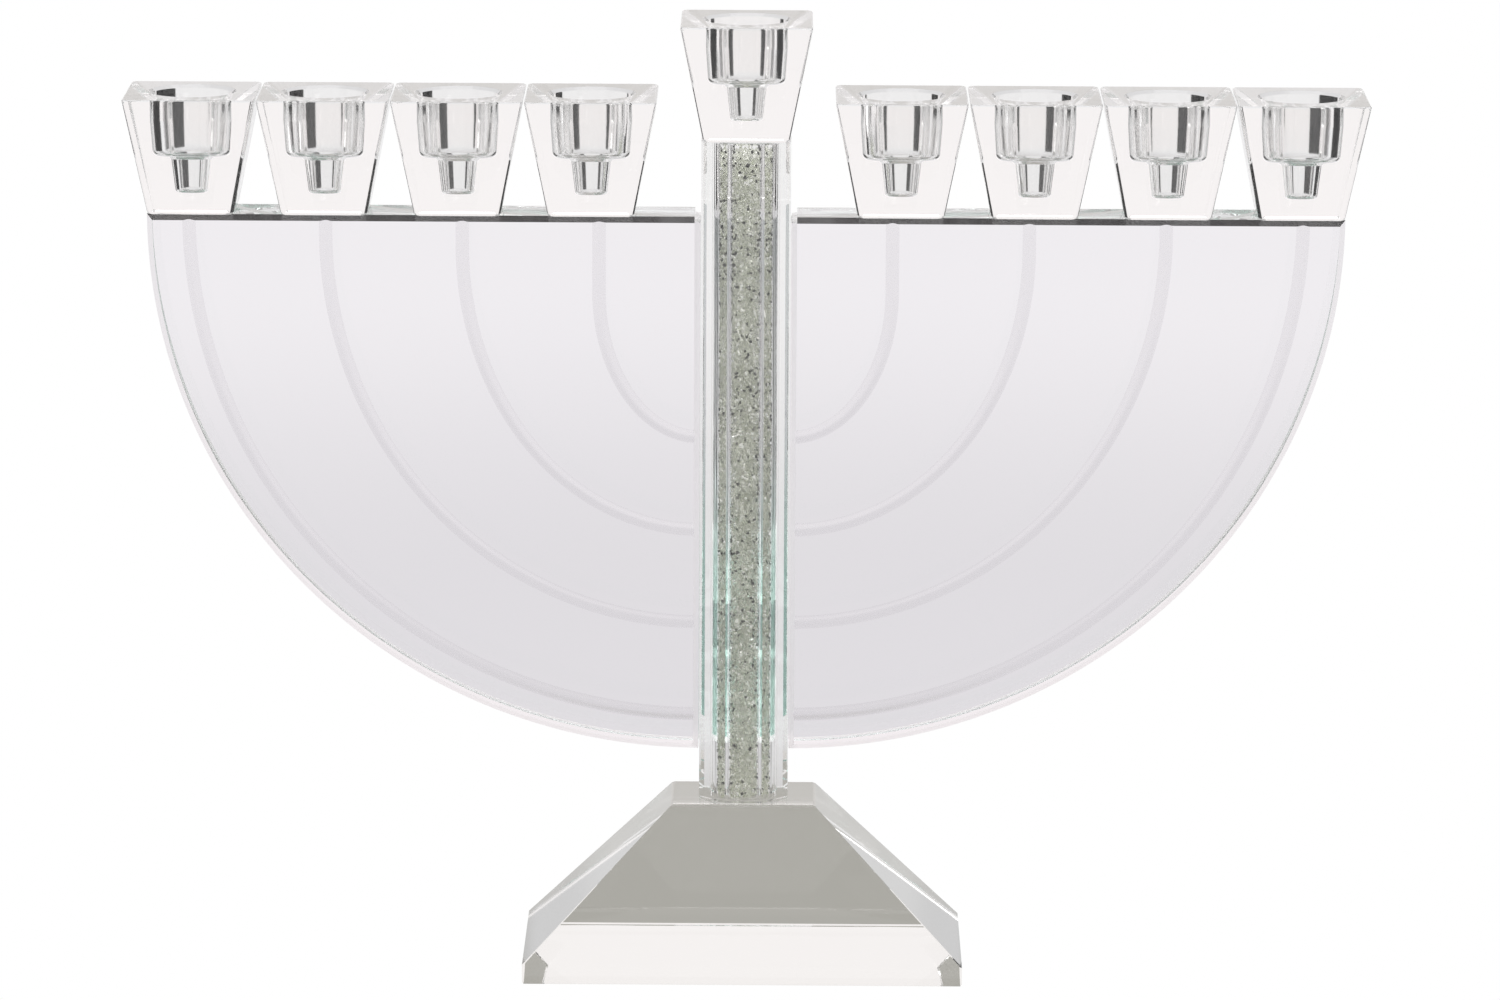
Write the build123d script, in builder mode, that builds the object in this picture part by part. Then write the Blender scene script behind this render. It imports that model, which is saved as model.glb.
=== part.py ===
from build123d import *
import os
from math import atan, degrees

# Nine-branch crystal menorah, glued from clear pieces.
# Millimetres, +Z up, the carved side faces -Y, origin under the middle of the foot.

# adhesive film between two glued pieces
bond = 0.2
bond_inset = 0.25           # the film stops just short of the edges

# candle cup, the same pressing nine times
cup_rim = 35.4              # outside of the square rim
cup_foot = 23.0             # outside of the square foot
cup_height = 31.8
cup_corner = 2.0            # round on the leaning edges
cup_foot_round = 1.2
cup_rim_round = 0.5
socket_lip = 0.8            # chamfer at the mouth of both steps
thick_candle = 22.0         # straight part of the wide step
thick_straight = 6.0
thick_floor = 20.6
thick_depth = 15.9
thick_floor_round = 2.0
thin_candle = 10.7          # narrow step in the floor of the wide one
thin_floor = 8.6
thin_depth = 10.1
thin_floor_round = 1.2

# solid foot, a slab that turns into a cut pyramid
foot_width = 118.6
foot_depth = 59.0
foot_slab = 5.3
foot_height = 46.2
foot_top_width = 38.5
foot_top_depth = 27.2
foot_arris = 0.4

# eight-sided tube between the foot and the middle cup
stem_flats = 24.0
stem_bore = 12.7
stem_height = 180.1
stem_arris = 0.3

# crystal chips poured into the tube
fill_slack = 0.3            # radial room between chips and tube
fill_headroom = 1.0         # empty length under the middle cup
fill_courses = 30
fill_sides = 6
fill_turn = 23.0            # turn from one course to the next
fill_draft = 9.0

# thick plate on each side of the tube
wing_thickness = 19.0
wing_step = 20.2            # tube end down to the top edge
wing_lift = 14.3            # tube's lower end up to the lowest point
wing_arris = 1.5

# branch lines carved in the front of the plates, inner line first
branch_width = 3.3
branch_carving = 0.6
branch_inside = 2.2         # inner line at the top edge, short of its cup's middle
branch_spread = 0.9         # what each next line gains on its cup
branch_drop = 59.6          # inner line where it meets the tube, below the top edge
branch_rim = 9.8            # outer line where it meets the tube, above the lowest point
branch_straights = (20.3, 8.3, 4.3, 0.0)

# cups along the top edge
cup_stand_off = 29.4        # first cup's middle from the tube's side
cup_gap = 0.2               # between two rims
cup_tip = 11.8              # last cup's middle to the tip
cups_per_side = 4

stem_side = stem_flats / 2
stem_bottom = foot_height + bond
stem_top = stem_bottom + stem_height
middle_cup_z = stem_top + bond
wing_top = stem_top - wing_step
wing_low = stem_bottom + wing_lift
wing_drop = wing_top - wing_low
row_cup_z = wing_top + bond
wing_root = stem_side + bond
cup_first = stem_side + cup_stand_off
cup_pitch = cup_rim + cup_gap
cup_last = cup_first + (cups_per_side - 1) * cup_pitch
wing_reach = cup_last + cup_tip - wing_root
branch_first = cup_first - branch_inside
branch_pitch = cup_pitch + branch_spread
branch_low = wing_top - branch_drop
branch_step_down = (wing_drop - branch_rim - branch_drop) / (cups_per_side - 1)

os.makedirs("parts", exist_ok=True)


def save(solid, label):
    solid.label = label
    export_step(solid, f"parts/{label}.step")


# the foot
with BuildPart() as base:
    with BuildSketch():
        Rectangle(foot_width, foot_depth)
    extrude(amount=foot_slab)
    with BuildSketch(Plane.XY.offset(foot_slab)):
        Rectangle(foot_width, foot_depth)
    with BuildSketch(Plane.XY.offset(foot_height)):
        Rectangle(foot_top_width, foot_top_depth)
    loft()
    upright = base.edges().filter_by(Axis.Z)
    around_top = base.faces().sort_by(Axis.Z)[-1].edges()
    around_bottom = base.faces().sort_by(Axis.Z)[0].edges()
    chamfer(upright + around_top + around_bottom, foot_arris)
base.part.label = "base"
export_step(base.part, "parts/base.step")

# the tube, flats towards the wings and the front
with BuildPart() as stem_tube:
    with BuildSketch(Plane.XY.offset(stem_bottom)):
        RegularPolygon(stem_side, 8, major_radius=False, rotation=22.5)
        Circle(stem_bore / 2, mode=Mode.SUBTRACT)
    extrude(amount=stem_height)
    ends = stem_tube.faces().filter_by(Axis.Z)
    chamfer([end.outer_wire().edges() for end in ends], stem_arris)
stem_tube.part.label = "stem_tube"
export_step(stem_tube.part, "parts/stem_tube.step")

# the chips as one rough column of turned courses
fill_height = stem_top - fill_headroom - foot_height
course = fill_height / fill_courses
with BuildPart() as crystal_fill:
    for layer in range(fill_courses):
        with BuildSketch(Plane.XY.offset(foot_height + layer * course)):
            RegularPolygon(stem_bore / 2 - fill_slack, fill_sides, rotation=layer * fill_turn)
        extrude(amount=course, taper=fill_draft)
crystal_fill.part.label = "crystal_fill"
export_step(crystal_fill.part, "parts/crystal_fill.step")

# right wing: a quarter of an oval plate, with the lines carved in its front
wing_middle = Plane.XZ
wing_front = Plane.XZ.offset(wing_thickness / 2)
with BuildPart() as wing_right:
    with BuildSketch(wing_middle):
        with BuildLine():
            EllipticalCenterArc(
                (wing_root, wing_top), wing_reach, wing_drop, start_angle=270, arc_size=90
            )
            Polyline(
                (wing_root + wing_reach, wing_top),
                (wing_root, wing_top),
                (wing_root, wing_low),
            )
        make_face()
    extrude(amount=wing_thickness / 2, both=True)
    broad_sides = wing_right.faces().filter_by(Axis.Y)
    chamfer(broad_sides.edges(), wing_arris)
    with BuildSketch(wing_front):
        for line in reversed(range(cups_per_side)):
            bend_z = wing_top - branch_straights[line]
            for grow, how in ((branch_width / 2, Mode.ADD), (-branch_width / 2, Mode.SUBTRACT)):
                reach = branch_first + line * branch_pitch + grow
                low = branch_low - line * branch_step_down - grow
                with BuildLine():
                    EllipticalCenterArc(
                        (wing_root, bend_z),
                        reach - wing_root,
                        bend_z - low,
                        start_angle=270,
                        arc_size=90,
                    )
                    Polyline(
                        (reach, bend_z),
                        (reach, wing_top + branch_width),
                        (wing_root, wing_top + branch_width),
                        (wing_root, low),
                    )
                make_face(mode=how)
    extrude(amount=-branch_carving, mode=Mode.SUBTRACT)
wing_right.part.label = "wing_right"
export_step(wing_right.part, "parts/wing_right.step")

# left wing: the same plate turned over
with BuildPart() as wing_left:
    mirror(wing_right.part, about=Plane.YZ)
wing_left.part.label = "wing_left"
export_step(wing_left.part, "parts/wing_left.step")

# one cup on the ground, with its stepped socket turned out
cup_flare = degrees(atan((cup_rim - cup_foot) / 2 / cup_height))
wide_floor_z = cup_height - thick_depth
narrow_floor_z = wide_floor_z - thin_depth
with BuildPart() as cup:
    with BuildSketch():
        Rectangle(cup_foot, cup_foot)
    extrude(amount=cup_height, taper=-cup_flare)
    leaning = cup.edges().filter_by(Plane.XY, reverse=True)
    fillet(leaning, cup_corner)
    fillet(cup.faces().sort_by(Axis.Z)[0].edges(), cup_foot_round)
    fillet(cup.faces().sort_by(Axis.Z)[-1].edges(), cup_rim_round)
    with BuildSketch(Plane.XZ) as half_socket:
        with BuildLine():
            Polyline(
                (0, cup_height),
                (thick_candle / 2 + socket_lip, cup_height),
                (thick_candle / 2, cup_height - socket_lip),
                (thick_candle / 2, cup_height - thick_straight),
                (thick_floor / 2, wide_floor_z),
                (thin_candle / 2 + socket_lip, wide_floor_z),
                (thin_candle / 2, wide_floor_z - socket_lip),
                (thin_floor / 2, narrow_floor_z),
                (0, narrow_floor_z),
                close=True,
            )
        make_face()
        wide_corner = half_socket.vertices().sort_by_distance((thick_floor / 2, wide_floor_z))[0]
        fillet(wide_corner, thick_floor_round)
        narrow_corner = half_socket.vertices().sort_by_distance((thin_floor / 2, narrow_floor_z))[0]
        fillet(narrow_corner, thin_floor_round)
    revolve(axis=Axis.Z, mode=Mode.SUBTRACT)

# film that fills the shared flat under a cup on a wing
cup_flat = cup_foot - 2 * cup_foot_round - 2 * bond_inset
wing_flat = wing_thickness - 2 * wing_arris - 2 * bond_inset
with BuildPart() as cup_bond:
    with BuildSketch():
        Rectangle(cup_flat, wing_flat)
    extrude(amount=bond)

# cups and films stand along both wings
for side, sign in (("left", -1), ("right", 1)):
    for place in range(cups_per_side):
        x = sign * (cup_first + place * cup_pitch)
        save(cup.part.moved(Location((x, 0, row_cup_z))), f"cup_{side}_{place + 1}")
        save(cup_bond.part.moved(Location((x, 0, wing_top))), f"bond_cup_{side}_{place + 1}")
save(cup.part.moved(Location((0, 0, middle_cup_z))), "shamash_cup")

# film rings on both ends of the tube
ring_reach = min(cup_flat / 2, stem_side - stem_arris - bond_inset)
with BuildPart() as bond_stem_top:
    with BuildSketch(Plane.XY.offset(stem_top)):
        Circle(ring_reach)
        Circle(stem_bore / 2, mode=Mode.SUBTRACT)
    extrude(amount=bond)
bond_stem_top.part.label = "bond_stem_top"
export_step(bond_stem_top.part, "parts/bond_stem_top.step")

with BuildPart() as bond_stem_foot:
    with BuildSketch(Plane.XY.offset(foot_height)):
        RegularPolygon(stem_side - stem_arris - bond_inset, 8, major_radius=False, rotation=22.5)
        Circle(stem_bore / 2, mode=Mode.SUBTRACT)
    extrude(amount=bond)
bond_stem_foot.part.label = "bond_stem_foot"
export_step(bond_stem_foot.part, "parts/bond_stem_foot.step")

# film strips between the tube's side flats and the wings
side_flat = stem_flats * (2 ** 0.5 - 1) - 2 * bond_inset
root_flat = wing_drop - 2 * wing_arris - 2 * bond_inset
root_middle_z = (wing_top + wing_low) / 2
for side, sign in (("left", -1), ("right", 1)):
    with BuildPart() as bond_wing:
        with Locations((sign * (stem_side + bond / 2), 0, root_middle_z)):
            Box(bond, side_flat, root_flat)
    save(bond_wing.part, f"bond_wing_{side}")
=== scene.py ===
import math
import random
import bmesh
import bpy
from mathutils import Matrix, Quaternion, Vector


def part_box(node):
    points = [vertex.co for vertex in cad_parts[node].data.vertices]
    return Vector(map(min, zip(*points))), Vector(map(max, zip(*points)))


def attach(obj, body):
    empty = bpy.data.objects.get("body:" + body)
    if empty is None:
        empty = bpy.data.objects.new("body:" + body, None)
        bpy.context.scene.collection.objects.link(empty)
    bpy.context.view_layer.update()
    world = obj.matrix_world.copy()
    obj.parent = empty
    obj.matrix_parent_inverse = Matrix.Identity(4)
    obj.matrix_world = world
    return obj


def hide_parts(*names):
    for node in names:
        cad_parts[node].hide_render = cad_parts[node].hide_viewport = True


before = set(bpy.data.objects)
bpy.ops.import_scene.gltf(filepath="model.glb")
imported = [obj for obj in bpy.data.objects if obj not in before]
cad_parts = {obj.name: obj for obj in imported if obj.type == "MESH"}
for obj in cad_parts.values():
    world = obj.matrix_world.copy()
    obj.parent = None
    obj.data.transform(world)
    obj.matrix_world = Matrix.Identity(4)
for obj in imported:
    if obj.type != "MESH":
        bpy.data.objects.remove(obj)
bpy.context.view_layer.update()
scene = bpy.context.scene
mm = 0.001
print("frame loaded:", len(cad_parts), "nodes")


class Value:
    # a node output; arithmetic on it adds the Math nodes
    def __init__(self, tree, socket):
        self.tree = tree
        self.socket = socket

    def join(self, operation, left, right):
        return self.tree.add("ShaderNodeMath", {"operation": operation}, {0: left, 1: right})

    def output(self, name):
        return Value(self.tree, self.socket.node.outputs[name])

    def __add__(self, other):
        return self.join("ADD", self, other)

    def __radd__(self, other):
        return self.join("ADD", other, self)

    def __sub__(self, other):
        return self.join("SUBTRACT", self, other)

    def __rsub__(self, other):
        return self.join("SUBTRACT", other, self)

    def __mul__(self, other):
        return self.join("MULTIPLY", self, other)

    def __rmul__(self, other):
        return self.join("MULTIPLY", other, self)


class Tree:
    def __init__(self, owner):
        owner.use_nodes = True
        self.nodes = owner.node_tree.nodes
        self.links = owner.node_tree.links
        self.nodes.clear()

    def add(self, kind, settings=None, sockets=None):
        node = self.nodes.new(kind)
        for name, value in (settings or {}).items():
            setattr(node, name, value)
        for name, value in (sockets or {}).items():
            if isinstance(value, Value):
                self.links.new(value.socket, node.inputs[name])
            else:
                node.inputs[name].default_value = value
        return Value(self, node.outputs[0]) if node.outputs else None

    def mix(self, factor, first, second):
        mixed = self.add("ShaderNodeMix", {"data_type": "RGBA"}, {0: factor, 6: first, 7: second})
        return Value(self, mixed.socket.node.outputs[2])

    def noise(self, size, detail):
        # size is how far apart the blotches are, in metres
        place = self.add("ShaderNodeTexCoord").output("Object")
        return self.add("ShaderNodeTexNoise", None, {"Vector": place, "Scale": 1 / size, "Detail": detail})

    def ease(self, value, start, end):
        # goes smoothly from 0 to 1 between start and end
        return self.add("ShaderNodeMapRange", {"interpolation_type": "SMOOTHSTEP"}, {
            "Value": value, "From Min": start, "From Max": end})


def rgba(colour):
    return (*colour, 1)


def grey(shade):
    return rgba((shade,) * 3)


def glass(name, look):
    made = bpy.data.materials.new(name)
    tree = Tree(made)
    blotch = tree.noise(look["blotchSize"], detail=2.0)
    wave = tree.noise(look["waveSize"], detail=1.0)
    speck = tree.noise(look["grainSize"], detail=3.0)
    normal = tree.add("ShaderNodeBump", None, {
        "Strength": look["waviness"], "Distance": mm, "Height": wave + look["grain"] * speck})
    shader = tree.add("ShaderNodeBsdfPrincipled", None, {
        "Base Color": tree.mix(blotch, rgba(look["tint"]), rgba(look["tintTwo"])),
        "Roughness": look["roughness"] * (look["polish"] + speck),
        "IOR": look["ior"],
        "Transmission Weight": look.get("clearness", 1.0),
        "Normal": normal,
    })
    sockets = {"Surface": shader}
    if look.get("depthColour"):
        sockets["Volume"] = tree.add("ShaderNodeVolumeAbsorption", None, {
            "Color": rgba(look["depthColour"]), "Density": look["depthDensity"]})
    tree.add("ShaderNodeOutputMaterial", None, sockets)
    return made


def gluedFace(name, look):
    # cured adhesive fills the joint, so light crosses it without bending; its shade may
    # change on the way up, from low to high
    made = bpy.data.materials.new(name)
    tree = Tree(made)
    place = tree.add("ShaderNodeNewGeometry").output("Position")
    height = tree.add("ShaderNodeSeparateXYZ", None, {"Vector": place}).output("Z")
    both = tree.add("ShaderNodeMixShader", None, {
        "Fac": tree.ease(height, look["start"], look["end"]),
        1: tree.add("ShaderNodeBsdfTransparent", None, {"Color": rgba(look["low"])}),
        2: tree.add("ShaderNodeBsdfTransparent", None, {"Color": rgba(look["high"])}),
    })
    tree.add("ShaderNodeOutputMaterial", None, {"Surface": both})
    return made


cupLook = {
    "tint": (0.995, 0.993, 0.99), "tintTwo": (0.985, 0.985, 0.985), "blotchSize": 0.03,
    "waveSize": 0.012, "grainSize": 0.0012, "grain": 0.01, "waviness": 0.012,
    "roughness": 0.004, "polish": 0.5, "ior": 1.5,
}
socketLook = {
    "tint": (0.94, 0.937, 0.932), "tintTwo": (0.91, 0.907, 0.902), "blotchSize": 0.01,
    "waveSize": 0.008, "grainSize": 0.0012, "grain": 0.01, "waviness": 0.02,
    "roughness": 0.09, "polish": 0.7, "ior": 1.5,
}
wingLook = {
    "tint": (0.975, 0.953, 0.973), "tintTwo": (0.962, 0.940, 0.970), "blotchSize": 0.08,
    "waveSize": 0.05, "grainSize": 0.0015, "grain": 0.01, "waviness": 0.004,
    "roughness": 0.004, "polish": 0.5, "ior": 1.5,
    "depthColour": (0.15, 0.60, 0.45), "depthDensity": 0.2,
}
carvedLook = {
    "tint": (0.845, 0.82, 0.85), "tintTwo": (0.82, 0.795, 0.83), "blotchSize": 0.004,
    "waveSize": 0.004, "grainSize": 0.0005, "grain": 0.6, "waviness": 0.03,
    "roughness": 0.26, "polish": 0.6, "ior": 1.5,
}
rimLook = {
    "tint": (0.95, 0.93, 0.945), "tintTwo": (0.92, 0.905, 0.92), "blotchSize": 0.004,
    "waveSize": 0.01, "grainSize": 0.0005, "grain": 0.05, "waviness": 0.004,
    "roughness": 0.35, "polish": 0.6, "ior": 1.5,
}
# painted dark reflection: near-black glass on the wing's top arrises, standing in for the dark surroundings
# seen through them
arrisDarkReflectionLook = {
    "tint": (0.010, 0.009, 0.009), "tintTwo": (0.003, 0.003, 0.003), "blotchSize": 0.004,
    "waveSize": 0.004, "grainSize": 0.0005, "grain": 0.3, "waviness": 0.05,
    "roughness": 0.12, "polish": 0.6, "ior": 1.5,
}
stemLook = {
    "tint": (0.99, 0.99, 0.985), "tintTwo": (0.98, 0.98, 0.975), "blotchSize": 0.03,
    "waveSize": 0.03, "grainSize": 0.0015, "grain": 0.01, "waviness": 0.006,
    "roughness": 0.004, "polish": 0.5, "ior": 1.5,
}
footLook = {
    "tint": (0.985, 0.985, 0.975), "tintTwo": (0.975, 0.975, 0.96), "blotchSize": 0.05,
    "waveSize": 0.04, "grainSize": 0.0015, "grain": 0.01, "waviness": 0.004,
    "roughness": 0.004, "polish": 0.5, "ior": 1.5,
}
chipLook = {
    "tint": (0.960, 0.972, 0.93), "tintTwo": (0.90, 0.912, 0.855), "blotchSize": 0.004,
    "waveSize": 0.003, "grainSize": 0.0006, "grain": 0.05, "waviness": 0.05,
    "roughness": 0.02, "polish": 0.5, "ior": 1.5,
}
filmLook = {
    "tint": (0.985, 0.985, 0.98), "tintTwo": (0.96, 0.96, 0.955), "blotchSize": 0.003,
    "waveSize": 0.004, "grainSize": 0.0006, "grain": 0.1, "waviness": 0.03,
    "roughness": 0.03, "polish": 0.5, "ior": 1.5,
}
# painted shade and painted highlight: near-black grains for the shade between chips, pale grains for glints
# on them
shadowLook = dict(chipLook, tint=(0.02, 0.02, 0.018), tintTwo=(0.05, 0.05, 0.045), clearness=0.3)
glintLook = dict(chipLook, tint=(0.95, 0.95, 0.92), tintTwo=(0.80, 0.82, 0.76), clearness=0.2)
jointLook = {"low": (1, 1, 1), "high": (1, 1, 1), "start": 0.0, "end": 1.0}
sideJointLook = {"low": (0.60, 0.73, 0.69), "high": (0.80, 0.82, 0.815), "start": 0.095, "end": 0.150}
cupGlass = glass("cup_glass", cupLook)
socketGlass = glass("socket_glass", socketLook)
wingGlass = glass("wing_glass", wingLook)
carvedGlass = glass("wing_carved_lines", carvedLook)
arrisDarkReflectionGlass = glass("wing_arris_painted_dark_reflection", arrisDarkReflectionLook)
rimGlass = glass("wing_ground_rim", rimLook)
stemGlass = glass("stem_glass", stemLook)
footGlass = glass("foot_glass", footLook)
chipGlass = glass("chip_glass", chipLook)
chipShadowGlass = glass("chip_shadow", shadowLook)
chipGlintGlass = glass("chip_glint", glintLook)
filmGlass = glass("film_adhesive", filmLook)
jointFace = gluedFace("glued_face", jointLook)
sideJointFace = gluedFace("glued_side_face", sideJointLook)
print("materials made")

# which of a piece's materials a face takes
plain, glued = 0, 1
socketWall = 2
carved, paintedDarkArris, groundRim = 2, 3, 4
shadowFacet, glintFacet = 1, 2


def skin(bm, rings, slots, closeEnds=False):
    # quads between rings of equal length; slots gives a material number for each band
    made = [[bm.verts.new(p) for p in ring] for ring in rings]
    count = len(rings[0])
    for band, (low, high) in enumerate(zip(made, made[1:])):
        for i in range(count):
            j = (i + 1) % count
            face = bm.faces.new((low[i], low[j], high[j], high[i]))
            face.material_index = slots[band]
    if closeEnds:
        bm.faces.new(made[0][::-1])
        bm.faces.new(made[-1])


weld, sliver = 1e-7, 1e-8  # in the mesh's own units


def tidied(bm):
    bmesh.ops.remove_doubles(bm, verts=bm.verts, dist=weld)
    bmesh.ops.dissolve_degenerate(bm, edges=bm.edges, dist=sliver)
    bmesh.ops.recalc_face_normals(bm, faces=bm.faces)


def toMetres(bm):
    bmesh.ops.scale(bm, vec=(mm, mm, mm), verts=bm.verts)


def cutOut(bm, along, at, low, high, slot):
    # splits the flat faces at that place along one axis round a rectangle, and gives the
    # ones inside it that slot; low and high are points, and their along part is unused
    tiny = 1e-6
    others = [a for a in range(3) if a != along]

    def onFlat():
        return [f for f in bm.faces if all(abs(v.co[along] - at) < tiny for v in f.verts)]

    for axis in others:
        for value in (low[axis], high[axis]):
            flat = onFlat()
            parts = set(flat) | {e for f in flat for e in f.edges} | {v for f in flat for v in f.verts}
            plane = [0, 0, 0]
            plane[axis] = value
            normal = [0, 0, 0]
            normal[axis] = 1
            bmesh.ops.bisect_plane(bm, geom=list(parts), dist=tiny / 10, plane_co=plane, plane_no=normal)
    for face in onFlat():
        middle = face.calc_center_median()
        if all(low[a] < middle[a] < high[a] for a in others):
            face.material_index = slot


def piece(name, bm, materials, nodes, crease=25):
    mesh = bpy.data.meshes.new(name)
    bm.to_mesh(mesh)
    bm.free()
    for material in materials:
        mesh.materials.append(material)
    mesh.shade_smooth()
    mesh.set_sharp_from_angle(angle=math.radians(crease))
    made = bpy.data.objects.new(name, mesh)
    scene.collection.objects.link(made)
    even = made.modifiers.new("flat faces stay flat", "WEIGHTED_NORMAL")
    even.keep_sharp = True
    even.weight = 100
    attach(made, "root")
    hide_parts(*nodes)
    return made


def shifted(points, z):
    return [Vector((x, y, z)) for x, y in points]


nearlyStraight = math.radians(89.5)  # half the angle of a corner too flat to round


def rounded(corners, radii, steps):
    # an open line of (r, z) points with its inner corners rounded
    line = [Vector(corners[0])]
    for before, here, after, radius in zip(corners, corners[1:], corners[2:], radii):
        a = (Vector(before) - Vector(here)).normalized()
        b = (Vector(after) - Vector(here)).normalized()
        half = a.angle(b) / 2
        if radius == 0 or half > nearlyStraight:
            line.append(Vector(here))
            continue
        run = radius / math.tan(half)
        centre = Vector(here) + (a + b).normalized() * radius / math.sin(half)
        first = Vector(here) + a * run - centre
        last = Vector(here) + b * run - centre
        sweep = first.angle(last)
        for i in range(steps + 1):
            t = i / steps
            weight = math.sin((1 - t) * sweep), math.sin(t * sweep)
            line.append(centre + (first * weight[0] + last * weight[1]) / math.sin(sweep))
    line.append(Vector(corners[-1]))
    return line


def boxMiddle(node):
    low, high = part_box(node)
    return (low + high) / 2


cupShape = {
    "rim": 35.4, "foot": 23.0, "height": 31.8, "corner": 2.0, "footRound": 1.2, "rimRound": 0.5,
    "mouthLip": 0.8, "wide": 22.0, "wideStraight": 6.0, "wideFloor": 20.6, "wideDepth": 15.9,
    "wideRound": 2.0, "narrow": 10.7, "narrowFloor": 8.6, "narrowDepth": 10.1, "narrowRound": 1.2,
    "edgeSoft": 0.25, "wallBend": 3.0, "leastCorner": 0.2, "sidePoints": 20, "sideSpread": 41,
    "cornerPoints": 8, "roundSteps": 6,
}


def cupLoop(shape, half, corner):
    # a square with round corners, the same number of points at every level, those of a
    # side even in angle
    flat = half - corner
    spread = math.radians(shape["sideSpread"])
    points = []
    for quarter in range(4):
        turn = Matrix.Rotation(math.radians(90 * quarter), 2)
        for i in range(shape["sidePoints"]):
            share = math.tan(spread * (2 * i / shape["sidePoints"] - 1)) / math.tan(spread)
            points.append(turn @ Vector((half, share * flat)))
        for i in range(shape["cornerPoints"]):
            angle = math.radians(90 * i / shape["cornerPoints"])
            points.append(turn @ Vector((flat + corner * math.cos(angle), flat + corner * math.sin(angle))))
    return points


def cupBody(shape, bondedRing=None):
    height = shape["height"]
    lean = math.atan((shape["rim"] - shape["foot"]) / 2 / height)
    footRound, rimRound = shape["footRound"], shape["rimRound"]
    footArc = math.pi / 2 - lean
    footFlat = shape["foot"] / 2 - footRound * math.tan(footArc / 2)
    rimFlat = shape["rim"] / 2 - rimRound * math.tan((math.pi - footArc) / 2)
    levels = []
    for i in range(shape["roundSteps"] + 1):
        a = footArc * i / shape["roundSteps"]
        half, z = footFlat + footRound * math.sin(a), footRound * (1 - math.cos(a))
        levels.append((half, z))
    for i in range(shape["roundSteps"] + 1):
        a = footArc + (math.pi - footArc) * i / shape["roundSteps"]
        half, z = rimFlat + rimRound * math.sin(a), height - rimRound * (1 + math.cos(a))
        levels.append((half, z))
    rings = []
    for half, z in levels:
        side = shape["foot"] / 2 + z * math.tan(lean)
        corner = max(shape["corner"] - (side - half), shape["leastCorner"])
        rings.append(shifted(cupLoop(shape, half, corner), z))
    wideFloorZ = height - shape["wideDepth"]
    narrowFloorZ = wideFloorZ - shape["narrowDepth"]
    lip = shape["mouthLip"]
    wall = rounded(
        [
            (rimFlat, height),
            (shape["wide"] / 2 + lip, height),
            (shape["wide"] / 2, height - lip),
            (shape["wide"] / 2, height - shape["wideStraight"]),
            (shape["wideFloor"] / 2, wideFloorZ),
            (shape["narrow"] / 2 + lip, wideFloorZ),
            (shape["narrow"] / 2, wideFloorZ - lip),
            (shape["narrowFloor"] / 2, narrowFloorZ),
            (0, narrowFloorZ),
        ],
        [shape["edgeSoft"], shape["edgeSoft"], shape["wallBend"], shape["wideRound"],
         shape["edgeSoft"], shape["edgeSoft"], shape["narrowRound"]],
        shape["roundSteps"],
    )[1:-1]
    directions = [Vector(p).normalized() for p in cupLoop(shape, shape["rim"] / 2, shape["corner"])]
    for radius, z in wall:
        rings.append([Vector((d.x * radius, d.y * radius, z)) for d in directions])
    slots = [plain] * len(levels) + [socketWall] * (len(wall) - 1)
    if bondedRing:
        rings = [shifted([d * r for d in directions], 0) for r in bondedRing] + rings
        slots = [glued, plain] + slots
    bm = bmesh.new()
    skin(bm, rings, slots, closeEnds=True)
    toMetres(bm)
    return bm


def standUp(bm, where):
    bmesh.ops.translate(bm, vec=where, verts=bm.verts)
    tidied(bm)


def makeCup(name, film, ring=None):
    low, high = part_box(name)
    filmLow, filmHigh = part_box(film)
    bm = cupBody(cupShape, ring)
    standUp(bm, ((low.x + high.x) / 2, (low.y + high.y) / 2, low.z))
    if ring is None:
        cutOut(bm, 2, low.z, filmLow, filmHigh, glued)
    return piece(name + "_glass", bm, [cupGlass, jointFace, socketGlass], [name])


sides = ("left", "right")
cupPlaces = range(1, 5)
for side in sides:
    for place in cupPlaces:
        makeCup(f"cup_{side}_{place}", f"bond_cup_{side}_{place}")
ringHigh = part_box("bond_stem_top")[1].x / mm
boreRadius = 6.35  # of the tube under the middle cup
makeCup("shamash_cup", "bond_stem_top", (boreRadius, ringHigh))
print("cups made")

tubeShape = {"arris": 0.3, "bore": boreRadius, "facetPoints": 12, "footFilm": 11.45}
facets = 8
facetTurn = 360 / facets  # degrees from one to the next


def octagon(shape, apothem):
    # flats towards both sides and the front, points even in angle along each facet
    points = []
    for facet in range(facets):
        turn = Matrix.Rotation(math.radians(facetTurn * facet), 2)
        for i in range(shape["facetPoints"]):
            angle = math.radians(facetTurn * i / shape["facetPoints"] - facetTurn / 2)
            points.append(turn @ Vector((apothem, apothem * math.tan(angle))))
    return points


def circle(shape, radius):
    count = facets * shape["facetPoints"]
    angles = [math.radians(360 * i / count - facetTurn / 2) for i in range(count)]
    return [Vector((radius * math.cos(a), radius * math.sin(a))) for a in angles]


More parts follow.
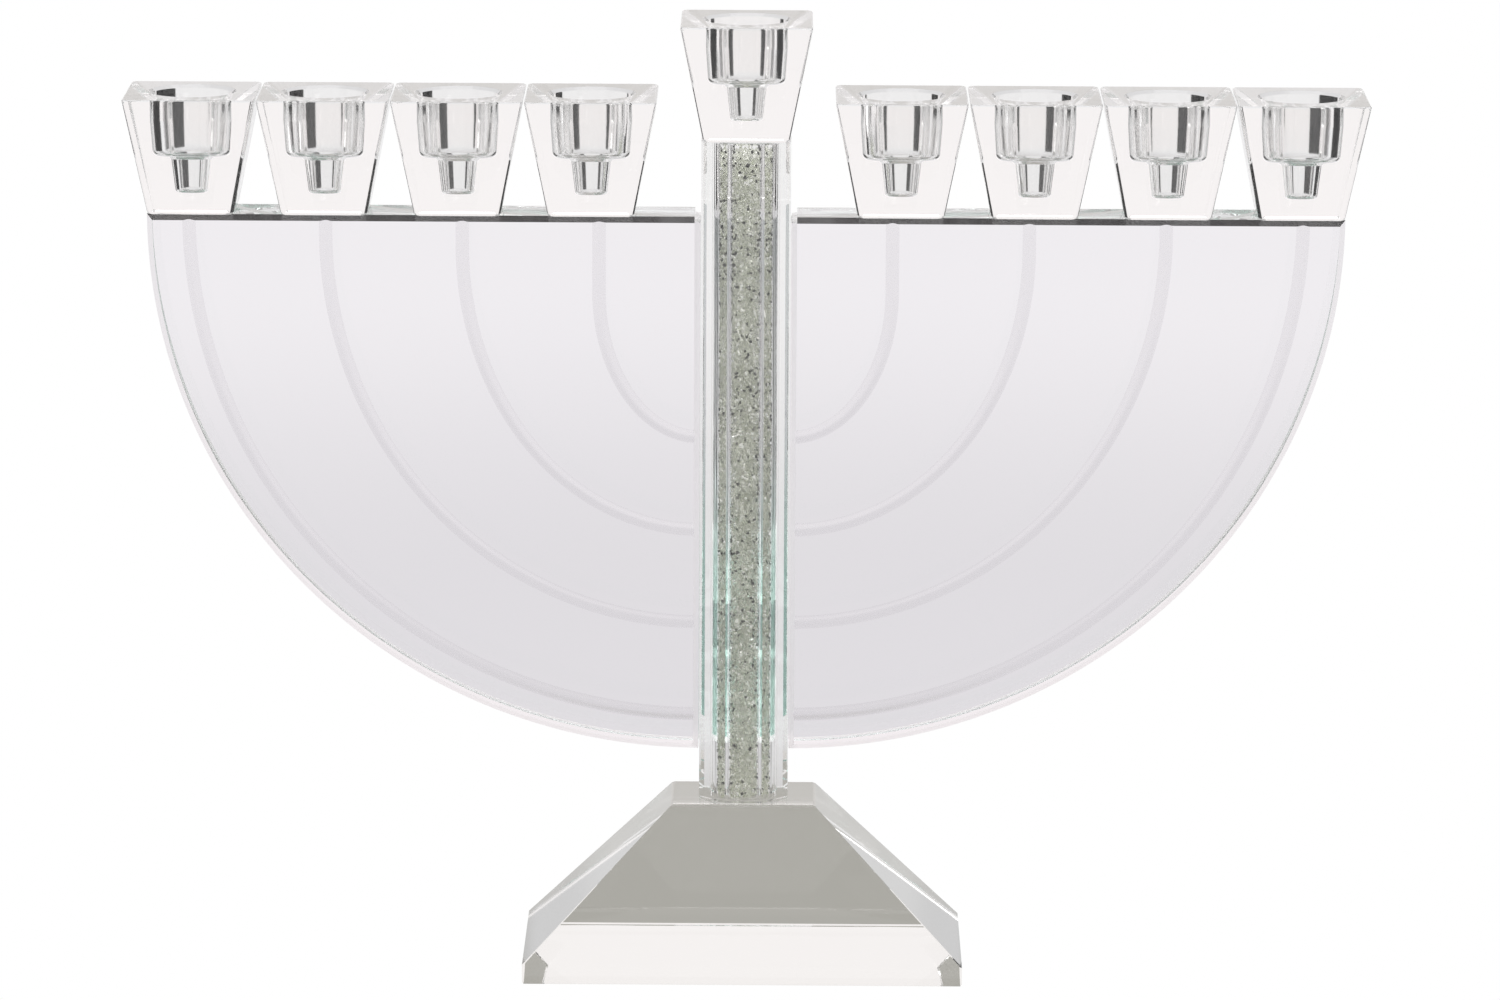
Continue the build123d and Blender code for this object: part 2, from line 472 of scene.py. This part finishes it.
def makeTube(shape):
    low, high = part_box("stem_tube")
    z0, z1 = low.z / mm, high.z / mm
    half, arris, bore = high.x / mm, shape["arris"], shape["bore"]
    rings = [
        shifted(circle(shape, bore), z0),
        shifted(octagon(shape, shape["footFilm"]), z0),
        shifted(octagon(shape, half - arris), z0),
        shifted(octagon(shape, half), z0 + arris),
        shifted(octagon(shape, half), z1 - arris),
        shifted(octagon(shape, half - arris), z1),
        shifted(circle(shape, ringHigh), z1),
        shifted(circle(shape, bore), z1),
        shifted(circle(shape, bore), z0),
    ]
    bm = bmesh.new()
    skin(bm, rings, [glued, plain, plain, plain, plain, plain, glued, plain])
    toMetres(bm)
    tidied(bm)
    for side in sides:
        filmLow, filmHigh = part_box(f"bond_wing_{side}")
        cutOut(bm, 0, low.x if side == "left" else high.x, filmLow, filmHigh, glued)
    return piece("stem_glass_tube", bm, [stemGlass, jointFace], ["stem_tube"])


makeTube(tubeShape)
print("stem made")

footShape = {"slab": 5.3, "topWidth": 38.5, "topDepth": 27.2, "arris": 0.4, "sidePoints": 24}


def cornered(shape, halfX, halfY, cut):
    # a rectangle with cut corners, doubled points where there is no cut
    count = shape["sidePoints"]
    ends = [((halfX, cut - halfY), (halfX, halfY - cut)), ((halfX - cut, halfY), (cut - halfX, halfY)),
            ((-halfX, halfY - cut), (-halfX, cut - halfY)), ((cut - halfX, -halfY), (halfX - cut, -halfY))]
    points = []
    for start, end in ends:
        for i in range(count + 1):
            points.append(Vector(start).lerp(Vector(end), i / count))
    return points


def withCorners(shape, points, first):
    # repeats the point at each corner, so that a round loop matches a cornered one
    count = shape["sidePoints"]
    turned = points[first:] + points[:first]
    made = []
    for side in range(4):
        made += turned[side * count:(side + 1) * count] + [turned[(side + 1) * count % (4 * count)]]
    return made


def makeFoot(shape):
    low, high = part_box("base")
    halfX, halfY, top = high.x / mm, high.y / mm, high.z / mm
    slab, arris = shape["slab"], shape["arris"]
    topX, topY = shape["topWidth"] / 2, shape["topDepth"] / 2
    step = arris / (top - slab)
    nearX, nearY = topX + (halfX - topX) * step, topY + (halfY - topY) * step
    # the foot's outline starts at a corner, half a facet before the first of these points
    firstCorner = facets * tubeShape["facetPoints"] - tubeShape["facetPoints"] // 2
    film = withCorners(shape, octagon(tubeShape, tubeShape["footFilm"]), firstCorner)
    bore = withCorners(shape, circle(tubeShape, tubeShape["bore"]), firstCorner)
    rings = [
        shifted(cornered(shape, halfX - arris, halfY - arris, 0), 0),
        shifted(cornered(shape, halfX, halfY, arris), arris),
        shifted(cornered(shape, halfX, halfY, arris), slab),
        shifted(cornered(shape, nearX, nearY, 0), top - arris),
        shifted(cornered(shape, topX - arris, topY - arris, 0), top),
        shifted(film, top),
        shifted(bore, top),
    ]
    bm = bmesh.new()
    skin(bm, rings, [plain, plain, plain, plain, plain, glued], closeEnds=True)
    toMetres(bm)
    tidied(bm)
    return piece("foot_glass_block", bm, [footGlass, jointFace], ["base"])


makeFoot(footShape)
print("foot made")

wingShape = {
    "arris": 1.5, "backArris": 0.5, "lineWidth": 3.6, "lineDepth": 0.25, "lineFirst": 39.2,
    "linePitch": 36.5, "lineDrop": 59.6, "lineStep": 25.4, "lineStraights": (20.3, 8.3, 4.3, 0.0),
    "alongPoints": 96, "acrossPoints": 12,
}
straightPoints, ovalPoints = 20, 720  # before a line is spaced out evenly


def quarterLine(rootX, topZ, reach, drop, straight, grow):
    # from the top edge straight down, then a quarter of an oval to the tube side,
    # moved sideways by grow
    points = []
    if straight > 0:
        for i in range(straightPoints):
            points.append(Vector((rootX + reach + grow, topZ - straight * i / straightPoints)))
    for i in range(ovalPoints + 1):
        a = math.pi / 2 * i / ovalPoints
        across = Vector((math.cos(a) / reach, -math.sin(a) / drop)).normalized()
        on = Vector((rootX + reach * math.cos(a), topZ - straight - drop * math.sin(a)))
        points.append(on + across * grow)
    return points


def between(points, topZ, rootX, count):
    # the part of a line under topZ and outside rootX, as evenly spaced points
    def crossing(a, b, axis, value):
        return a.lerp(b, (value - a[axis]) / (b[axis] - a[axis]))

    kept = [p for p in points if p.y < topZ and p.x > rootX]
    first = points.index(kept[0])
    last = points.index(kept[-1])
    if first > 0:
        kept.insert(0, crossing(points[first - 1], points[first], 1, topZ))
    else:
        kept.insert(0, Vector((kept[0].x, topZ)))
    if last + 1 < len(points):
        kept.append(crossing(points[last], points[last + 1], 0, rootX))
    lengths = [0]
    for a, b in zip(kept, kept[1:]):
        lengths.append(lengths[-1] + (b - a).length)
    spaced = []
    at = 0
    for i in range(count + 1):
        want = lengths[-1] * i / count
        while at < len(kept) - 2 and lengths[at + 1] < want:
            at += 1
        run = lengths[at + 1] - lengths[at]
        share = min(1, (want - lengths[at]) / run) if run else 0
        spaced.append(kept[at].lerp(kept[at + 1], share))
    return spaced


def makeWing(side, shape):
    # built as the right one, and mirrored for the left
    low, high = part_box("wing_right")
    rootX, tipX, lowZ, topZ = low.x / mm, high.x / mm, low.z / mm, high.z / mm
    halfY, arris = high.y / mm, shape["arris"]
    count = shape["alongPoints"]
    reach, drop = tipX - rootX, topZ - lowZ
    rows = []  # lines of points from the top edge to the tube side, each with the slot after it

    def addRow(points, y, slot):
        rows.append(([Vector((p.x, y, p.y)) for p in points], slot))

    corner = Vector((rootX + arris, topZ - arris))
    addRow([corner] * (count + 1), -halfY, plain)
    for line, straight in enumerate(shape["lineStraights"]):
        lineReach = shape["lineFirst"] + line * shape["linePitch"] - rootX
        lineDrop = shape["lineDrop"] + line * shape["lineStep"] - straight
        for i in range(shape["acrossPoints"] + 1):
            share = 2 * i / shape["acrossPoints"] - 1
            depth = shape["lineDepth"] * math.cos(math.pi / 2 * share) ** 2
            path = quarterLine(rootX, topZ, lineReach, lineDrop, straight, share * shape["lineWidth"] / 2)
            path = between(path, topZ - arris + depth, rootX + arris - depth, count)
            addRow(path, depth - halfY, carved if i < shape["acrossPoints"] else plain)

    def inset(width):
        path = quarterLine(rootX, topZ, reach, drop, 0, -width)
        return between(path, topZ - arris, rootX + arris, count)

    addRow(inset(arris), -halfY, groundRim)
    rim = between(quarterLine(rootX, topZ, reach, drop, 0, 0), topZ, rootX, count)
    rim[0] = Vector((tipX, topZ))
    rim[-1] = Vector((rootX, lowZ))
    rimRow = len(rows)
    addRow(rim, arris - halfY, plain)
    addRow(rim, halfY - shape["backArris"], groundRim)
    addRow(inset(shape["backArris"]), halfY, plain)
    addRow([corner] * (count + 1), halfY, plain)

    bm = bmesh.new()
    made = [[bm.verts.new(p) for p in row] for row, slot in rows]
    slots = [slot for row, slot in rows]
    for near, far, slot in zip(made, made[1:], slots):
        for i in range(count):
            bm.faces.new((near[i], near[i + 1], far[i + 1], far[i])).material_index = slot
    # the arrises of the flat top and of the tube side, then the two flats themselves; the flat top's
    # arrises take the near-black painted dark reflection
    for end, axis, flat, slot in ((0, 2, topZ, paintedDarkArris), (count, 0, rootX, groundRim)):
        edge = [row[end] for row in made]
        flatFront = []
        for vert in edge[:rimRow]:
            raised = vert.co.copy()
            raised[axis] = flat
            raised.y = arris - halfY
            flatFront.append(bm.verts.new(raised))
        flatFront.append(edge[rimRow])
        for i in range(rimRow):
            corners = [edge[i], edge[i + 1], flatFront[i + 1], flatFront[i]]
            if edge[i + 1] is flatFront[i + 1]:
                del corners[2]
            bm.faces.new(corners).material_index = slot
        raised = edge[-1].co.copy()
        raised[axis] = flat
        raised.y = halfY - arris
        flatBack = bm.verts.new(raised)
        bm.faces.new((edge[-1], edge[-2], edge[-3], flatBack))
        bm.faces.new(flatFront + [edge[-3], flatBack])
    tidied(bm)
    # the small faces where the top's arrises meet those of the tube side
    bmesh.ops.holes_fill(bm, edges=[e for e in bm.edges if e.is_boundary], sides=0)
    toMetres(bm)
    if side == "left":
        bmesh.ops.scale(bm, vec=(-1, 1, 1), verts=bm.verts)
    tidied(bm)
    for place in cupPlaces:
        cutOut(bm, 2, high.z, *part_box(f"bond_cup_{side}_{place}"), glued)
    ownLow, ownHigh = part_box(f"wing_{side}")
    cutOut(bm, 0, ownHigh.x if side == "left" else ownLow.x, *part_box(f"bond_wing_{side}"), glued)
    return piece(f"wing_{side}_glass", bm, [wingGlass, jointFace, carvedGlass, arrisDarkReflectionGlass, rimGlass],
                 [f"wing_{side}"])


for side in sides:
    makeWing(side, wingShape)
print("wings made")

filmGap = 0.02 * mm  # keeps a film's faces off the glass that it joins


def makeFilm(node, along, loops=None, bond=jointFace):
    # a thin block, or a washer between two loops, that joins its neighbours along one axis
    low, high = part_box(node)
    bm = bmesh.new()
    if loops:
        outer, inner = loops
        z0, z1 = (low.z + filmGap) / mm, (high.z - filmGap) / mm
        section = ((inner, z0), (outer, z0), (outer, z1), (inner, z1), (inner, z0))
        skin(bm, [shifted(loop, z) for loop, z in section], [glued, plain, glued, plain])
        toMetres(bm)
        tidied(bm)
    else:
        gap = Vector([filmGap if a == along else 0 for a in range(3)])
        low, high = low + gap, high - gap
        verts = [bm.verts.new((x, y, z)) for z in (low.z, high.z) for x, y in (
            (low.x, low.y), (high.x, low.y), (high.x, high.y), (low.x, high.y))]
        for corners in ((0, 1, 2, 3), (4, 5, 6, 7), (0, 1, 5, 4), (1, 2, 6, 5), (2, 3, 7, 6), (3, 0, 4, 7)):
            bm.faces.new([verts[i] for i in corners])
        tidied(bm)
        for face in bm.faces:
            if max(range(3), key=lambda axis: abs(face.normal[axis])) == along:
                face.material_index = glued
    return piece(node + "_film", bm, [filmGlass, bond], [node])


for side in sides:
    for place in cupPlaces:
        makeFilm(f"bond_cup_{side}_{place}", 2)
    makeFilm(f"bond_wing_{side}", 0, bond=sideJointFace)
boreLoop = circle(tubeShape, boreRadius)
makeFilm("bond_stem_top", 2, (circle(tubeShape, ringHigh), boreLoop))
makeFilm("bond_stem_foot", 2, (octagon(tubeShape, tubeShape["footFilm"]), boreLoop))
print("films made")

chipShape = {
    "size": 2.25, "spread": 0.22, "stretch": 0.25, "corners": 11, "kinds": 32, "layer": 1.72,
    "rings": ((0.0, 1), (2.05, 6), (4.0, 12), (5.15, 15)), "drift": 0.22, "clearance": 0.25, "seed": 7,
    "lift": 0.02, "specks": 1700, "speckSize": 0.95, "speckRange": (0.5, 1.2), "speckDepth": 0.4,
    "speckMargin": 1, "shadowShare": 0.62, "crease": 5,
}


def chipKinds(shape, draw):
    # a few dozen broken pieces, each the hull of points on a stretched ball
    kinds = []
    for kind in range(shape["kinds"]):
        bm = bmesh.new()
        stretch = [draw.uniform(1 - shape["stretch"], 1 + shape["stretch"]) for axis in range(3)]
        for i in range(shape["corners"]):
            point = Vector([draw.gauss(0, 1) for axis in range(3)]).normalized()
            bm.verts.new([c * k / 2 for c, k in zip(point, stretch)])
        bmesh.ops.convex_hull(bm, input=bm.verts)
        bmesh.ops.delete(bm, geom=[v for v in bm.verts if not v.link_faces], context="VERTS")
        bm.verts.index_update()
        kinds.append(([v.co.copy() for v in bm.verts], [[v.index for v in f.verts] for f in bm.faces]))
        bm.free()
    return kinds


def makeChips(shape):
    low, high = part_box("crystal_fill")
    draw = random.Random(shape["seed"])
    kinds = chipKinds(shape, draw)
    reach = boreRadius - shape["clearance"]
    floor, top = low.z / mm + shape["lift"], high.z / mm
    points, triangles, slots = [], [], []

    def addChip(centre, size, reach, slot):
        spin = Quaternion([draw.gauss(0, 1) for axis in range(4)]).normalized()
        corners, faces = kinds[draw.randrange(len(kinds))]
        first = len(points)
        for corner in corners:
            point = spin @ (corner * size) + centre
            out = math.hypot(point.x, point.y)
            pull = min(1, reach / out) if out else 1
            points.append((point.x * pull * mm, point.y * pull * mm, min(max(point.z, floor), top) * mm))
        for face in faces:
            triangles.append([first + i for i in face])
            slots.append(slot)

    z = floor + shape["size"] / 2
    while z < top - shape["size"] / 2:
        turn = draw.uniform(0, math.pi)
        for ring, around in shape["rings"]:
            for i in range(around):
                angle = turn + 2 * math.pi * i / around
                centre = Vector((ring * math.cos(angle), ring * math.sin(angle), z))
                centre += Vector([draw.uniform(-1, 1) * shape["drift"] for axis in range(3)])
                addChip(centre, shape["size"] * draw.uniform(1 - shape["spread"], 1 + shape["spread"]),
                        reach - shape["speckDepth"], plain)
        z += shape["layer"]
    # dark grains of painted shade for the gaps between the chips, and pale grains of painted highlight for
    # their glints, all just under the tube's wall
    margin = shape["speckMargin"]
    for speck in range(shape["specks"]):
        angle, out = draw.uniform(0, 2 * math.pi), reach - shape["speckDepth"] * draw.random()
        z = draw.uniform(floor + margin, top - margin)
        size = shape["speckSize"] * draw.uniform(*shape["speckRange"])
        slot = shadowFacet if draw.random() < shape["shadowShare"] else glintFacet
        addChip(Vector((out * math.cos(angle), out * math.sin(angle), z)), size, reach, slot)
    mesh = bpy.data.meshes.new("chips")
    mesh.from_pydata(points, [], triangles)
    bm = bmesh.new()
    bm.from_mesh(mesh)
    bpy.data.meshes.remove(mesh)
    bm.faces.ensure_lookup_table()
    for face, slot in zip(bm.faces, slots):
        face.material_index = slot
    bmesh.ops.recalc_face_normals(bm, faces=bm.faces)
    print("chips:", len(triangles), "facets")
    materials = [chipGlass, chipShadowGlass, chipGlintGlass]
    return piece("crystal_chips_heap", bm, materials, ["crystal_fill"], shape["crease"])


makeChips(chipShape)
print("chips made")

studio = {
    "air": (0.945, 0.915, 0.912), "half": 6.0, "floorDrop": 0.0004, "tableDrop": 0.0006,
    "tableNear": (0.40, 0.39, 0.36), "tableMid": (0.77, 0.765, 0.775), "tableFar": (0.90, 0.895, 0.90),
    "nearReach": 0.06, "midReach": 0.28, "riseReach": 0.5, "farReach": 1.1,
    "wedge": (57, 86), "wedgeShade": 0.45, "wedgeSoft": 4, "wedgeReach": 0.16,
    "front": 0.8, "frontHalf": 2.0, "frontDistance": 3.0, "frontHeight": 2.4,
    "dark": 0.015, "grey": 0.48, "flag": (33, 86), "flagDistance": 0.6, "flagFoot": 0.085,
    "flagHeight": 0.36, "greyHeight": 1.1, "greyStart": 20, "flagStep": 2,
}


def stageObject(name, mesh, material, seenByCamera):
    # seen either by the camera alone, or by everything but the camera
    mesh.materials.append(material)
    made = bpy.data.objects.new(name, mesh)
    scene.collection.objects.link(made)
    made.visible_camera = seenByCamera
    for ray in ("visible_diffuse", "visible_glossy", "visible_transmission"):
        setattr(made, ray, not seenByCamera)
    made.visible_shadow = False
    return made


def sheetMesh(name, corners):
    mesh = bpy.data.meshes.new(name)
    mesh.from_pydata(corners, [], [(0, 1, 2, 3)])
    return mesh


def flagMesh(name, look, start, end, foot, head):
    # an upright card, its ends given as angles from straight behind, bent round the object; on the
    # left the angles are negative
    steps = max(1, round((end - start) / look["flagStep"]))
    points, faces = [], []
    for i in range(steps + 1):
        angle = math.radians(start + (end - start) * i / steps)
        x, y = math.sin(angle) * look["flagDistance"], math.cos(angle) * look["flagDistance"]
        points += [(x, y, foot), (x, y, head)]
        if i < steps:
            faces.append((2 * i, 2 * i + 2, 2 * i + 3, 2 * i + 1))
    mesh = bpy.data.meshes.new(name)
    mesh.from_pydata(points, [], faces)
    return mesh


def glow(name, shade):
    made = bpy.data.materials.new(name)
    tree = Tree(made)
    light = tree.add("ShaderNodeEmission", None, {"Color": grey(shade), "Strength": 1.0})
    tree.add("ShaderNodeOutputMaterial", None, {"Surface": light})
    return made


def tableGlow(name, look):
    # the table as the glass sees it: shaded by the object close by, brighter further off,
    # and dimmer towards the two flags
    made = bpy.data.materials.new(name)
    tree = Tree(made)
    place = tree.add("ShaderNodeNewGeometry").output("Position")
    split = tree.add("ShaderNodeSeparateXYZ", None, {"Vector": place})
    x, y = split.output("X"), split.output("Y")
    aside = tree.add("ShaderNodeMath", {"operation": "ABSOLUTE"}, {0: x})
    angle = tree.add("ShaderNodeMath", {"operation": "ARCTAN2"}, {0: aside, 1: y}) * math.degrees(1)
    reach = tree.add("ShaderNodeVectorMath", {"operation": "LENGTH"}, {0: place}).output("Value")
    first, last = look["wedge"]
    soft = look["wedgeSoft"]
    wedge = tree.ease(angle, first - soft, first + soft) * (1 - tree.ease(angle, last - soft, last + soft))
    wedge = wedge * tree.ease(reach, look["wedgeReach"], look["midReach"])
    nearToMid = tree.ease(reach, look["nearReach"], look["midReach"])
    midToFar = tree.ease(reach, look["riseReach"], look["farReach"])
    shade = tree.mix(nearToMid, rgba(look["tableNear"]), rgba(look["tableMid"]))
    shade = tree.mix(midToFar, shade, rgba(look["tableFar"]))
    shade = tree.mix(wedge, shade, grey(look["wedgeShade"]))
    light = tree.add("ShaderNodeEmission", None, {"Color": shade, "Strength": 1.0})
    tree.add("ShaderNodeOutputMaterial", None, {"Surface": light})
    return made


whiteGlow = glow("studio_white", 1)
frontGlow = glow("studio_front", studio["front"])
darkGlow = glow("studio_dark", studio["dark"])
greyGlow = glow("studio_grey", studio["grey"])
shadedGlow = tableGlow("studio_table", studio)


def level(look, drop):
    half = look["half"]
    return [(-half, -half, -drop), (half, -half, -drop), (half, half, -drop), (-half, half, -drop)]


def upright(look):
    half, y, head = look["frontHalf"], -look["frontDistance"], look["frontHeight"]
    return [(-half, y, 0), (half, y, 0), (half, y, head), (-half, y, head)]


for name, corners, shade, seenByCamera in (
        ("studio_floor", level(studio, studio["floorDrop"]), whiteGlow, True),
        ("studio_table", level(studio, studio["tableDrop"]), shadedGlow, False),
        ("studio_front_card", upright(studio), frontGlow, False)):
    stageObject(name, sheetMesh(name, corners), shade, seenByCamera)
flagFoot, flagHead, greyHead = studio["flagFoot"], studio["flagHeight"], studio["greyHeight"]
for side, sign in (("left", -1), ("right", 1)):
    start, end = studio["flag"]
    for name, first, foot, head, shade in (
            (f"studio_flag_{side}", start, flagFoot, flagHead, darkGlow),
            (f"studio_card_{side}", studio["greyStart"], flagHead, greyHead, greyGlow)):
        stageObject(name, flagMesh(name, studio, sign * first, sign * end, foot, head), shade, False)

world = bpy.data.worlds.new("studio_air")
scene.world = world
worldTree = Tree(world)
air = worldTree.add("ShaderNodeBackground", None, {"Color": rgba(studio["air"]), "Strength": 1.0})
worldTree.add("ShaderNodeOutputWorld", None, {"Surface": air})

lights = {
    "softbox": {"where": (0.0, -0.2, 1.6), "size": 1.2, "power": 6.0},
    "fill": {"where": (-1.2, -1.4, 1.1), "size": 0.8, "power": 3.0},
}
for name, light in lights.items():
    lamp = bpy.data.lights.new(name, "AREA")
    lamp.size = light["size"]
    lamp.energy = light["power"]
    lampObject = bpy.data.objects.new(name, lamp)
    lampObject.location = light["where"]
    lampObject.rotation_mode = "QUATERNION"
    towards = boxMiddle("stem_tube") - Vector(light["where"])
    lampObject.rotation_quaternion = towards.to_track_quat("-Z", "Y")
    scene.collection.objects.link(lampObject)
    lampObject.visible_camera = False

view = {
    "target": (1.42, 0.0, 127.57), "distance": 2.09606, "elevation": 11.479, "azimuth": 0.259,
    "roll": 0.287, "lens": 186.3, "sensor": 36.0, "nearest": 0.1, "furthest": 30.0, "bounces": 28,
    "clearBounces": 32,
}
lens = bpy.data.cameras.new("camera")
lens.lens = view["lens"]
lens.sensor_width = view["sensor"]
lens.clip_start = view["nearest"]
lens.clip_end = view["furthest"]
camera = bpy.data.objects.new("camera", lens)
scene.collection.objects.link(camera)
scene.camera = camera
azimuth, elevation = math.radians(view["azimuth"]), math.radians(view["elevation"])
back = Vector((math.sin(azimuth) * math.cos(elevation), -math.cos(azimuth) * math.cos(elevation),
               math.sin(elevation)))
camera.location = Vector(view["target"]) * mm + back * view["distance"]
camera.rotation_mode = "QUATERNION"
roll = Quaternion((0, 0, 1), math.radians(view["roll"]))
camera.rotation_quaternion = (-back).to_track_quat("-Z", "Y") @ roll

scene.view_settings.view_transform = "Standard"
scene.cycles.max_bounces = view["bounces"]
scene.cycles.transmission_bounces = view["bounces"]
scene.cycles.glossy_bounces = view["bounces"]
scene.cycles.transparent_max_bounces = view["clearBounces"]
scene.cycles.blur_glossy = 0.0
print("studio made")
